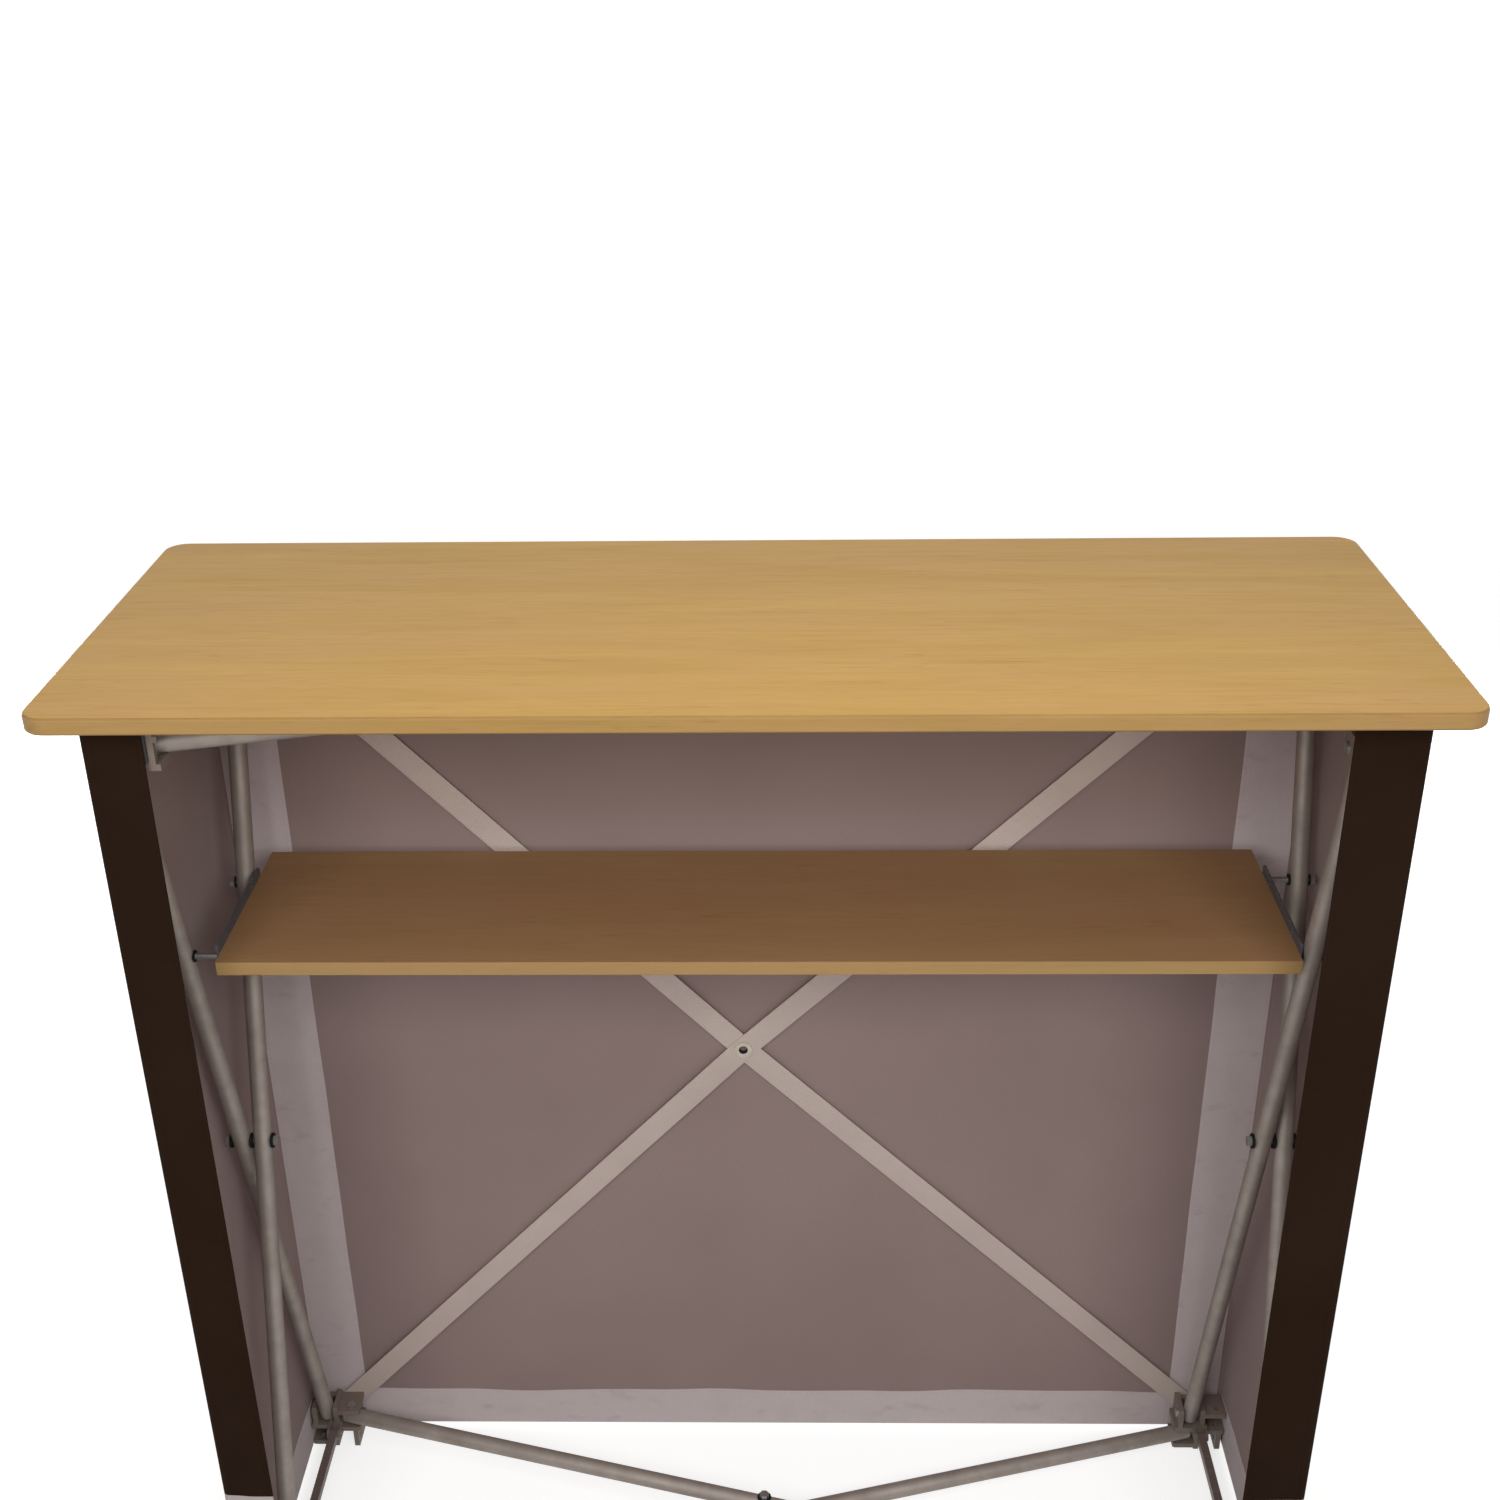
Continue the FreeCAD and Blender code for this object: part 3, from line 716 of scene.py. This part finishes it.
def wrap_stations():
    """The upright lines of the wrap in order, from the left return to the right one."""
    stations = []
    travelled = 0.0
    for wall in walls:
        for distance in steps(wall.first, wall.last, CLOTH_STEP):
            stations.append(Station(wall, distance, None, travelled + distance - wall.first))
        travelled += wall.last - wall.first
        if wall.free_end:
            continue
        for step in range(1, CORNER_STEPS):
            turn = math.pi / 2 * step / CORNER_STEPS
            stations.append(Station(wall, None, turn, travelled + turn * CORNER_ROUND))
        travelled += math.pi / 2 * CORNER_ROUND
    return stations


# The inner cloth's colours hold painted shade in part: the back of the cloth is paler than they are
inner_cloth_painted_shade = cloth_back("wrap_inner_face_painted_shade", tone(0.358, 0.262, 0.244), tone(0.318, 0.229, 0.214))
outer_cloth = cloth_print("wrap_outer_face")
stations = wrap_stations()
wrap = thin_sheet(
    "wrap",
    stations,
    steps(cloth_low, cloth_high, CLOTH_STEP),
    lambda station, height, side: station.point(height, cloth_thick * (side - 0.5)),
    lambda station, height: (station.travelled, height),
    [inner_cloth_painted_shade, outer_cloth],
)


# Loop tapes sewn inside the wrap
class Tape:
    """A strip on a wall, from a straight edge at a base to one that wanders a little."""

    def __init__(self, wall, upright, base, toward, width, start, end, wobble=TAPE_WOBBLE):
        self.wall = wall
        self.upright = upright
        self.base = base
        self.toward = toward
        self.width = width
        self.start = start
        self.end = end
        self.wobble = wobble

    def width_at(self, travel):
        """The width of the strip at a place along it."""
        long_wander = math.sin(travel / WANDER_LONG + WANDER_SHIFT * self.base)
        short_wander = WANDER_SHORT_SHARE * math.sin(travel / WANDER_SHORT)
        return self.width + self.wobble * (long_wander + short_wander)

    def point(self, travel, across, depth):
        """A point of the strip, at a depth outwards from the middle of the cloth."""
        if self.upright:
            return self.wall.point(self.base + self.toward * across, travel, depth)
        return self.wall.point(travel, self.base + self.toward * across, depth)


tape_low, tape_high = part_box("front_tape_left")
tape_thick = tape_high.y - tape_low.y
left_width = front.distance(tape_high) - front.first
right_width = front.last - front.distance(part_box("front_tape_right")[0])
hem_low, hem_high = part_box("front_tape_bottom")
hem_width = hem_high.z - hem_low.z
hem_start = front.distance(hem_low) + TAPE_GAP
hem_end = front.distance(hem_high) - TAPE_GAP
above_hem = cloth_low + hem_width + TAPE_GAP
return_left_width = return_left.last - TAPE_GAP
return_right_width = return_right.last - return_right.first - TAPE_GAP
tapes = {
    "front_tape_left": [Tape(front, True, front.first, 1, left_width, cloth_low, cloth_high)],
    "front_tape_right": [Tape(front, True, front.last, -1, right_width, cloth_low, cloth_high)],
    "front_tape_bottom": [Tape(front, False, cloth_low, 1, hem_width, hem_start, hem_end, HEM_WOBBLE)],
    "front_tape_top": [Tape(front, False, cloth_high, -1, hem_width, hem_start, hem_end)],
    "side_tapes": [
        Tape(side_left, False, cloth_low, 1, hem_width, side_left.first, side_left.last),
        Tape(side_right, False, cloth_low, 1, hem_width, side_right.first, side_right.last),
        Tape(side_left, True, side_left.first, 1, hem_width, above_hem, cloth_high),
        Tape(side_right, True, side_right.last, -1, hem_width, above_hem, cloth_high),
    ],
    "return_tapes": [
        Tape(return_left, True, return_left.last, -1, return_left_width, cloth_low, cloth_high),
        Tape(return_right, True, return_right.first, 1, return_right_width, cloth_low, cloth_high),
    ],
}
loop_face = brushed_loop(
    "loop_tape_face",
    colour=tone(0.68, 0.580, 0.582),
    deep=tone(0.555, 0.468, 0.47),
    soiled=tone(0.36, 0.315, 0.325),
)


def joined(name, parts):
    """One object from several, with their meshes as they are."""
    if len(parts) == 1:
        parts[0].name = name
        return parts[0]
    mesh = bmesh.new()
    for part in parts:
        mesh.from_mesh(part.data)
    materials = list(parts[0].data.materials)
    for part in parts:
        bpy.data.objects.remove(part)
    return finished(name, mesh, materials)


def tape_sheet(name, tape):
    """The mesh of one tape, which lies on the inner face of the cloth."""
    def place(travel, share, side):
        depth = -cloth_thick / 2 - tape_thick * (1 - side)
        return tape.point(travel, share * tape.width_at(travel), depth)

    return thin_sheet(
        name,
        steps(tape.start, tape.end, TAPE_STEP),
        [index / TAPE_COLUMNS for index in range(TAPE_COLUMNS + 1)],
        place,
        lambda travel, share: (travel, share * tape.width),
        [loop_face],
    )


wrap_pieces = []
for node, strips in tapes.items():
    parts = [tape_sheet(node + "_part" + str(index), tape) for index, tape in enumerate(strips)]
    piece = joined(node + "_sewn", parts)
    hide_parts(node)
    wrap_pieces.append(piece)


# Stitching along both edges of every tape, seen on both faces of the cloth
def add_stitch(mesh, start, end, outward):
    """One closed thread dash on a surface."""
    slope = (end - start) * STITCH_SLOPE_SHARE
    across = (end - start).cross(outward).normalized() * (STITCH_WIDTH / 2)
    crown = across * STITCH_CROWN_SHARE
    rise = outward * STITCH_RISE
    base = [start - across, end - across, end + across, start + across]
    top = [start + slope - crown, end - slope - crown, end - slope + crown, start + slope + crown]
    low = [mesh.verts.new(point - rise) for point in base]
    high = [mesh.verts.new(point + rise) for point in top]
    mesh.faces.new(low)
    mesh.faces.new(high[::-1])
    for index in range(len(low)):
        after = (index + 1) % len(low)
        mesh.faces.new((low[after], low[index], high[index], high[after]))


def stitching(name, depth, inward, material):
    """The stitches of all tapes at a depth of the cloth, on its inner or outer side."""
    mesh = bmesh.new()
    for strips in tapes.values():
        for tape in strips:
            side = tape.wall.outward * (-1 if inward else 1)
            count = int((tape.end - tape.start - 2 * STITCH_INSET) / STITCH_PITCH)
            for index in range(count):
                start = tape.start + STITCH_INSET + index * STITCH_PITCH
                end = start + STITCH_LENGTH
                for across in (STITCH_INSET, tape.width_at(start) - STITCH_INSET):
                    add_stitch(mesh, tape.point(start, across, depth), tape.point(end, across, depth), side)
    bmesh.ops.recalc_face_normals(mesh, faces=mesh.faces)
    return finished(name, mesh, [material])


pale_thread = thread("pale_thread", tone(0.62, 0.55, 0.53), tone(0.48, 0.42, 0.40))
stitches_inside = stitching("stitches_inside", -cloth_thick / 2 - tape_thick, True, pale_thread)
stitches_outside = stitching("stitches_outside", cloth_thick / 2, False, outer_thread("printed_thread"))
for piece in (stitches_inside, stitches_outside):
    wrap_pieces.append(piece)
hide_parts("wrap_front", "wrap_side_left", "wrap_side_right")
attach(wrap, "frame")
for piece in wrap_pieces:
    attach(piece, "frame")


# Crossed webbing
def hub_centre(name):
    """The middle of a hub, seen from the rear."""
    low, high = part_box(name)
    return Vector(((low.x + high.x) / 2, 0.0, (low.z + high.z) / 2))


rivet_low, rivet_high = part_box("strap_rivet")
rivet_centre = (rivet_low + rivet_high) / 2


class Strap:
    """Webbing from hub to hub, turned a little where the rivet pulls it aside."""

    def __init__(self, node, start_hub, end_hub):
        low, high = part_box(node)
        self.level = (low.y + high.y) / 2
        self.half = (high.y - low.y) / 2
        self.middle = Vector((rivet_centre.x, 0.0, rivet_centre.z))
        self.first = (self.middle - hub_centre(start_hub)).normalized()
        self.second = (hub_centre(end_hub) - self.middle).normalized()
        self.before = (self.middle - hub_centre(start_hub)).length + STRAP_TAIL
        self.after = (hub_centre(end_hub) - self.middle).length + STRAP_TAIL

    def point(self, travel, across, side):
        """A point of the strap's near (0) or far (1) face, with travel from the rivet."""
        turn = eased(0.5 + travel / STRAP_WIDTH)
        heading = self.first.lerp(self.second, turn).normalized()
        run = self.first if travel < 0 else self.second
        crosswise = Vector((-heading.z, 0.0, heading.x))
        thin = eased((abs(across) - (STRAP_WIDTH / 2 - STRAP_EDGE)) / STRAP_EDGE)
        depth = self.half * (1.0 - STRAP_THINNING_SHARE * thin) * (1 if side else -1)
        return self.middle + run * travel + crosswise * across + Y_AXIS * (self.level + depth)


def strap_columns():
    """Places across a strap, closer together at its rounded edges."""
    inside = STRAP_WIDTH / 2 - STRAP_EDGE
    edge = [inside + STRAP_EDGE * share for share in STRAP_EDGE_SHARES]
    return [-place for place in edge[::-1]] + [0.0] + edge


def drilled(piece, centre, diameter):
    """Cut a round hole through a piece, along Y."""
    mesh = bmesh.new()
    bmesh.ops.create_cone(
        mesh,
        cap_ends=True,
        segments=RIVET_HOLE_SIDES,
        radius1=diameter / 2,
        radius2=diameter / 2,
        depth=diameter * 2,
        matrix=Matrix.Translation(centre) @ Matrix.Rotation(math.pi / 2, 4, "X"),
    )
    cutter = finished(piece.name + "_drill", mesh, [])
    hole = piece.modifiers.new("hole", "BOOLEAN")
    hole.object = cutter
    hole.operation = "DIFFERENCE"
    hole.solver = "EXACT"
    graph = bpy.context.evaluated_depsgraph_get()
    cut = bpy.data.meshes.new_from_object(piece.evaluated_get(graph))
    piece.modifiers.clear()
    piece.data = cut
    bpy.data.objects.remove(cutter)


webbing = woven_webbing("webbing_face", tone(0.69, 0.575, 0.515), tone(0.545, 0.445, 0.395))
for node, start_hub, end_hub in (
        ("strap_rising", "hub_front_bottom_left", "hub_front_top_right"),
        ("strap_falling", "hub_front_top_left", "hub_front_bottom_right")):
    strap = Strap(node, start_hub, end_hub)
    piece = thin_sheet(
        node + "_webbing",
        steps(-strap.before, 0.0, STRAP_STEP) + steps(0.0, strap.after, STRAP_STEP)[1:],
        strap_columns(),
        strap.point,
        lambda travel, across: (travel, across),
        [webbing],
    )
    drilled(piece, rivet_centre, RIVET_HOLE)
    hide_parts(node)
    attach(piece, "frame")


# Hook pads on the hubs
def rounded_square(side, radius, inset):
    """The outline of a square with round corners, drawn in by an inset."""
    half = side / 2 - radius
    reach = radius - inset
    outline = []
    for quarter, (x, z) in enumerate(QUARTERS):
        for step in range(PAD_CORNER_STEPS + 1):
            turn = math.pi / 2 * (quarter + step / PAD_CORNER_STEPS)
            outline.append((x * half + reach * math.cos(turn), z * half + reach * math.sin(turn)))
    return outline


def add_rings(mesh, rings):
    """Close a stack of rings of points into one skin."""
    loops = [[mesh.verts.new(point) for point in ring] for ring in rings]
    mesh.faces.new(loops[0][::-1])
    mesh.faces.new(loops[-1])
    for lower, upper in zip(loops, loops[1:]):
        for index in range(len(lower)):
            after = (index + 1) % len(lower)
            mesh.faces.new((lower[index], lower[after], upper[after], upper[index]))


def add_hook(mesh, x, z, crown, toward):
    """One small capped hook that stands on the crown of a pad."""
    rings = []
    for share, width in zip(HOOK_LEVEL_SHARES, HOOK_WIDTHS):
        level = crown + toward * HOOK_RISE * share
        half = width / 2
        rings.append([Vector((x + right * half, level, z + up * half)) for right, up in QUARTERS])
    add_rings(mesh, rings)


def add_hook_pad(mesh, centre, back, front_face, toward):
    """A padded base on a hub and rows of hooks that face the cloth."""
    crown = front_face - toward * HOOK_RISE
    rim = crown - toward * HOOK_RISE
    rings = []
    for level, inset in ((back, 0.0), (rim, 0.0), (crown, HOOK_RISE)):
        outline = rounded_square(PAD_SIDE, PAD_ROUND, inset)
        rings.append([Vector((centre.x + x, level, centre.z + z)) for x, z in outline])
    add_rings(mesh, rings)
    count = int((PAD_SIDE - PAD_ROUND) / HOOK_PITCH)
    first = -HOOK_PITCH * (count - 1) / 2
    for row in range(count):
        for column in range(count):
            x = centre.x + first + HOOK_PITCH * column
            z = centre.z + first + HOOK_PITCH * row
            add_hook(mesh, x, z, crown, toward)


hook_plastic = nylon("hook_plastic", tone(0.022, 0.021, 0.021), tone(0.05, 0.048, 0.047), HOOK_EDGE)
for node, face, toward in (("hook_pads_front", "front", 1.0), ("hook_pads_rear", "rear", -1.0)):
    pad_low, pad_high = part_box(node)
    back = pad_low.y if toward > 0 else pad_high.y
    front_face = pad_high.y if toward > 0 else pad_low.y
    mesh = bmesh.new()
    for level in ("bottom", "top"):
        for side in ("left", "right"):
            centre = hub_centre("hub_" + face + "_" + level + "_" + side)
            add_hook_pad(mesh, centre, back, front_face, toward)
    bmesh.ops.recalc_face_normals(mesh, faces=mesh.faces)
    piece = finished(node + "_hooks", mesh, [hook_plastic])
    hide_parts(node)
    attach(piece, "frame")

# Finishes of the pieces that come from the frame
top_laminate = maple(
    "maple_laminate",
    light=tone(0.565, 0.336, 0.084),
    dark=tone(0.455, 0.250, 0.054),
    blush=tone(0.552, 0.316, 0.094),
    pore=tone(0.36, 0.170, 0.044),
    edging=tone(0.76, 0.79, 1.03),
    seam=tone(0.60, 0.60, 0.66),
)
# Painted shade: the shelf is the top's laminate, painted darker for the shade under the top board; its
# edging tint lifts its edges back to about the top's edging
shelf_laminate = maple(
    "shelf_laminate",
    light=tone(0.385, 0.222, 0.102),
    dark=tone(0.322, 0.178, 0.077),
    blush=tone(0.382, 0.208, 0.101),
    pore=tone(0.250, 0.122, 0.050),
    edging=tone(1.10, 1.21, 1.05),
    seam=tone(0.95, 0.95, 0.95),
)
tube_metal = aluminium("anodised_tube", tone(0.378, 0.326, 0.290), tone(0.308, 0.263, 0.232))
hub_nylon = nylon("hub_nylon", tone(0.197, 0.152, 0.124), tone(0.27, 0.216, 0.18), HUB_EDGE)
plug_nylon = nylon("plug_nylon", tone(0.33, 0.31, 0.285), tone(0.42, 0.40, 0.37), HUB_EDGE)
zinc_steel = zinc("zinc_steel", tone(0.46, 0.45, 0.44), tone(0.32, 0.315, 0.31))
rivet_nylon = eyelet(
    "rivet_nylon",
    colour=tone(0.60, 0.52, 0.43),
    rubbed=tone(0.68, 0.60, 0.51),
    # shade is the painted shade inside the rivet's bore
    shade=tone(0.035, 0.028, 0.032),
    centre=rivet_centre,
)
black_rubber = rubber("black_rubber", tone(0.0055, 0.0055, 0.006), tone(0.020, 0.019, 0.018))
bracket_paint = powder_coat("bracket_paint", tone(0.092, 0.095, 0.112), tone(0.30, 0.30, 0.31))
bar_paint = powder_coat("lock_bar_paint", tone(0.185, 0.143, 0.122), tone(0.34, 0.30, 0.28))
hub_names = [name for name in cad if name.startswith("hub_") and name != "hub_pins"]
tube_names = [name for name in cad if name.startswith("tube_") and name != "tube_end_plugs"]
bar_names = [name for name in cad if name.startswith("lock_bar_")]
finishes = (
    (top_laminate, ["top_board"]),
    (shelf_laminate, ["shelf_board"]),
    (tube_metal, tube_names),
    (hub_nylon, hub_names),
    (plug_nylon, ["tube_end_plugs", "strap_keepers"]),
    (zinc_steel, ["hub_pins", "pivot_bolts", "pivot_nuts", "shelf_bolts", "lock_pins", "bracket_screws"]),
    (rivet_nylon, ["strap_rivet"]),
    (black_rubber, ["pivot_spacers", "shelf_bolt_washers"]),
    (bracket_paint, ["shelf_bracket_left", "shelf_bracket_right"]),
    (bar_paint, bar_names),
)
for finish, names in finishes:
    for name in names:
        for holder in cad[name].material_slots:
            holder.material = finish


# Floor: pale, lifted to white for the camera only, so that the object's shadow stays on it
def white_to_eye(tree):
    """1 for what the camera sees, straight or through gloss and glass, and 0 for other light."""
    path = tree.nodes.new("ShaderNodeLightPath")
    total = path.outputs["Is Camera Ray"]
    for name in ("Is Glossy Ray", "Is Transmission Ray"):
        larger = tree.nodes.new("ShaderNodeMath")
        larger.operation = "MAXIMUM"
        tree.links.new(total, larger.inputs[0])
        tree.links.new(path.outputs[name], larger.inputs[1])
        total = larger.outputs[0]
    return total


def pale_floor(name, dark, pale):
    """A pale matte floor with a glow for the camera, which grows with the distance."""
    looks = Looks(name)
    place = looks.place("Object")
    looks.surface(Base_Color=looks.mix(looks.noise(place, 3.0, detail=3.0), dark, pale), Roughness=0.9)
    away = looks.add("VectorMath", operation="LENGTH")
    looks.feed(away.inputs[0], place)
    lift = looks.ranged(away.outputs["Value"], FLOOR_NEAR, FLOOR_FAR, FLOOR_GLOW_NEAR, FLOOR_GLOW_FAR)
    glow = looks.add("Emission")
    looks.feed(glow.inputs["Strength"], looks.math("MULTIPLY", white_to_eye(looks.tree), lift))
    lifted = looks.add("AddShader")
    looks.feed(lifted.inputs[0], looks.shader.outputs[0])
    looks.feed(lifted.inputs[1], glow.outputs[0])
    looks.feed(looks.tree.nodes["Material Output"].inputs["Surface"], lifted.outputs[0])
    return looks.material


floor_mesh = bmesh.new()
bmesh.ops.create_grid(floor_mesh, x_segments=1, y_segments=1, size=FLOOR_SIZE / 2)
floor_face = pale_floor("pale_floor", tone(0.46, 0.46, 0.455), tone(0.50, 0.50, 0.495))
floor = finished("floor", floor_mesh, [floor_face])

# World: even grey light, white to the camera
world = bpy.data.worlds.new("studio")
world.use_nodes = True
bpy.context.scene.world = world
background = world.node_tree.nodes["Background"]
background.inputs["Color"].default_value = WHITE
strength = world.node_tree.nodes.new("ShaderNodeMapRange")
strength.inputs["To Min"].default_value = AMBIENT
strength.inputs["To Max"].default_value = 1.0
world.node_tree.links.new(white_to_eye(world.node_tree), strength.inputs["Value"])
world.node_tree.links.new(strength.outputs[0], background.inputs["Strength"])


def soft_light(name, place, aim, size, power):
    """A square soft light that looks at a point."""
    data = bpy.data.lights.new(name, "AREA")
    data.size = size
    data.energy = power
    lamp = bpy.data.objects.new(name, data)
    lamp.location = place
    lamp.rotation_mode = "QUATERNION"
    lamp.rotation_quaternion = (aim - place).to_track_quat("-Z", "Y")
    bpy.context.scene.collection.objects.link(lamp)


soft_light("key", KEY_PLACE, KEY_AIM, KEY_SIZE, KEY_POWER)
soft_light("fill_left", FILL_LEFT, FILL_AIM, FILL_SIZE, FILL_POWER)
soft_light("fill_right", FILL_RIGHT, FILL_AIM, FILL_SIZE, FILL_POWER)
soft_light("public_left", PUBLIC_LEFT, PUBLIC_AIM, PUBLIC_SIZE, PUBLIC_POWER)
soft_light("public_right", PUBLIC_RIGHT, PUBLIC_AIM, PUBLIC_SIZE, PUBLIC_POWER)

# Camera
lens = bpy.data.cameras.new("camera")
lens.sensor_width = SENSOR
lens.sensor_fit = "HORIZONTAL"
lens.lens = FOCAL_PIXELS / IMAGE_SIZE * SENSOR
lens.shift_y = (CENTRE_ROW - IMAGE_SIZE / 2) / IMAGE_SIZE
camera = bpy.data.objects.new("camera", lens)
looking_down = Matrix.Rotation(math.pi / 2 - CAMERA_PITCH, 4, "X")
turned = Matrix.Rotation(CAMERA_YAW, 4, "Z") @ looking_down @ Matrix.Rotation(CAMERA_ROLL, 4, "Z")
camera.matrix_world = Matrix.Translation(CAMERA_PLACE) @ turned
bpy.context.scene.collection.objects.link(camera)
bpy.context.scene.camera = camera
bpy.context.scene.view_settings.view_transform = "Standard"
